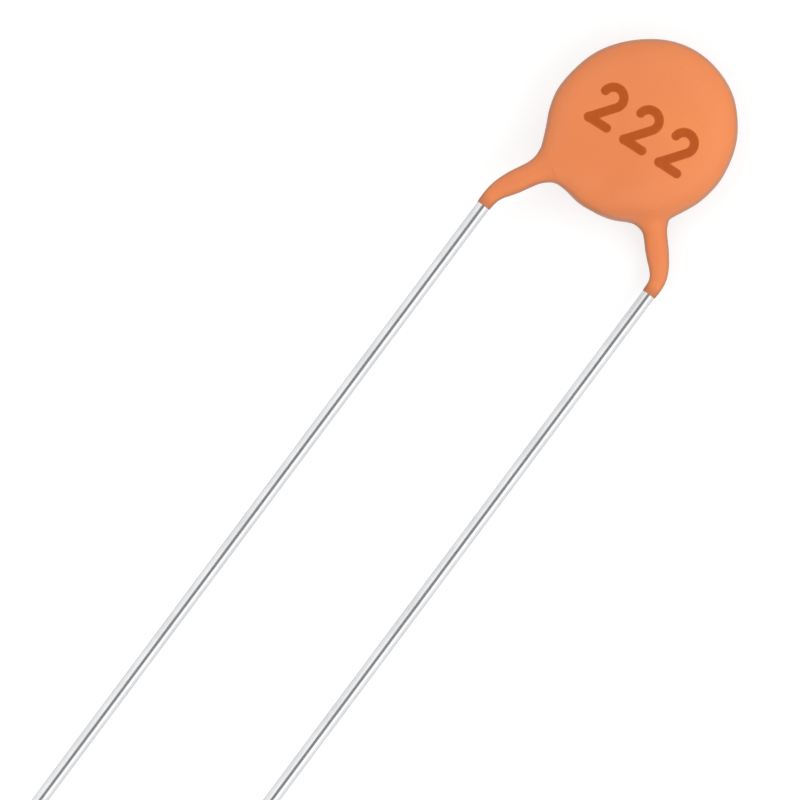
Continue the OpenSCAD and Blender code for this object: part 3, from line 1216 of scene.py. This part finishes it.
@dataclass
class Studio:
    """A pale floor, soft lamps on both sides of the leads, and a grey card over the camera."""

    floor_side: float = 3000.0
    sheet_cells: int = 8  # along each side of a sheet
    card_size: tuple[float, float] = (270.0, 300.0)
    card_height: float = 330.0
    horizon: float = 0.6  # radiance of the room's soft light, where 1 is white
    zenith: float = 1.86
    zenith_lean: tuple[float, float] = (0.05, 0.034)  # how far its brightest part leans in plan
    white: str = "#FFFFFF"
    lamps: tuple[Softbox, ...] = (
        Softbox("left_softbox", (-330, 0, 300), (300, 600), 0.15),
        Softbox("right_softbox", (330, 0, 300), (300, 600), 0.45),
    )

    def sheet(self, name: str, size: tuple[float, float], z: float, upwards: bool) -> bpy.types.Object:
        """Lays a flat sheet: two parameters from -1 to 1 times half its sides, at one height.

        Args:
            name: the sheet's name.
            size: its sides along X and Y, in millimetres.
            z: its height, in metres.
            upwards: whether its face looks up.

        Returns:
            The sheet, marked as no part of the object.
        """
        sides = np.linspace(-1, 1, self.sheet_cells + 1)
        u, v = np.meshgrid(sides, sides, indexing="ij")
        points = np.stack([u * size[0] / 2 * MM, v * size[1] / 2 * MM, np.full(u.shape, z)], axis=-1)
        quads = cell_corners(np.arange(u.size).reshape(u.shape)).reshape(-1, 4)
        mesh = bpy.data.meshes.new(name)
        mesh.from_pydata(points.reshape(-1, 3).tolist(), [], quads[:, :: 1 if upwards else -1].tolist())
        sheet = link_object(name, mesh)
        sheet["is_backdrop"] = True
        return sheet

    def build(self, floor_z: float) -> None:
        """Sets the floor, the card, the lamps and the room's own light.

        Args:
            floor_z: height of what the object lies on, in metres.
        """
        floor = self.sheet("floor", (self.floor_side, self.floor_side), floor_z, True)
        floor.data.materials.append(WhitePaper().material())
        card = self.sheet("overhead_card", self.card_size, self.card_height * MM, False)
        card.data.materials.append(GreyCard().material())
        for lamp in self.lamps:
            lamp.build()
        self.room()

    def room(self) -> None:
        """Makes the room white to the camera and in reflections, and a soft light from above else.

        That light grows from the horizon up with the square of the height of its direction, as
        under a lit ceiling, so that a steep wall is darker than a level face.
        """
        world = bpy.data.worlds.new("room")
        bpy.context.scene.world = world
        world.use_nodes = True
        tree = world.node_tree
        tree.nodes.clear()
        zenith = np.array([*self.zenith_lean, 1.0])
        brightest = (zenith / np.linalg.norm(zenith)).tolist()
        way = add_node(tree, "TexCoord", output="Generated")
        height = add_node(tree, "VectorMath", (way, brightest), operation="DOT_PRODUCT")
        held = add_node(tree, "Clamp", (height,))
        squared = add_node(tree, "Math", (held, held), operation="MULTIPLY")
        ceiling = add_node(tree, "MapRange", (squared, *WHOLE, self.horizon, self.zenith))
        level = add_node(tree, "MapRange", (seen_white(tree), *WHOLE, ceiling, 1.0))
        light = add_node(tree, "Background", {"Color": self.white, "Strength": level})
        add_node(tree, "OutputWorld", {"Surface": light})


# ---------------------------------------------------------------- the whole


def main() -> None:
    """Builds and dresses every piece in order, then the studio and the camera."""
    logging.basicConfig(level=logging.INFO, format="%(message)s")
    bpy.context.scene.view_settings.view_transform = "Standard"
    front_lead = Lead(Side.FRONT, bend_angle=28, bend_drop=6.1, bend_r=2.0)
    back_lead = Lead(Side.BACK, bend_angle=43, bend_drop=4.81, bend_r=1.2)
    wire = TinnedWire()
    for lead in (front_lead, back_lead):
        piece = lead.build()
        lead.dress(piece, wire)
        log.info("%s: %d faces", piece.name, len(piece.data.polygons))

    front = RunDown(
        front_lead,
        end_drop=6.22,
        taper=1.7,
        flare_from=2.0,
        flare_gain=0.28,
        outer_share=1.0,
        stops=(0, 0.4, 0.8, 1.2, 1.6, 2, 2.4, 2.75, 3),
    )
    back = RunDown(
        back_lead,
        end_drop=5.05,
        taper=2.0,
        flare_from=2.3,
        flare_gain=1.1,
        outer_share=0.45,
        stops=(0, 0.35, 0.7, 1.1, 1.5, 1.9, 2.3, 2.6, 2.85, 3.05),
    )
    coating = Coating(front, back)
    skin = coating.build()
    coating.dress(skin, DippedResin())
    log.info("%s: %d faces", skin.name, len(skin.data.polygons))

    marking = Marking(coating)
    ink = marking.build(skin)
    marking.dress(ink, StampedInk())
    log.info("%s: %d faces", ink.name, len(ink.data.polygons))

    Inside().dress()
    log.info("inner pieces dressed")

    low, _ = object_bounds()
    Studio().build(min(0.0, low.z))
    Camera().build(coating.centre[2] * MM)
    log.info("studio and camera set")


if __name__ == "__main__":
    main()
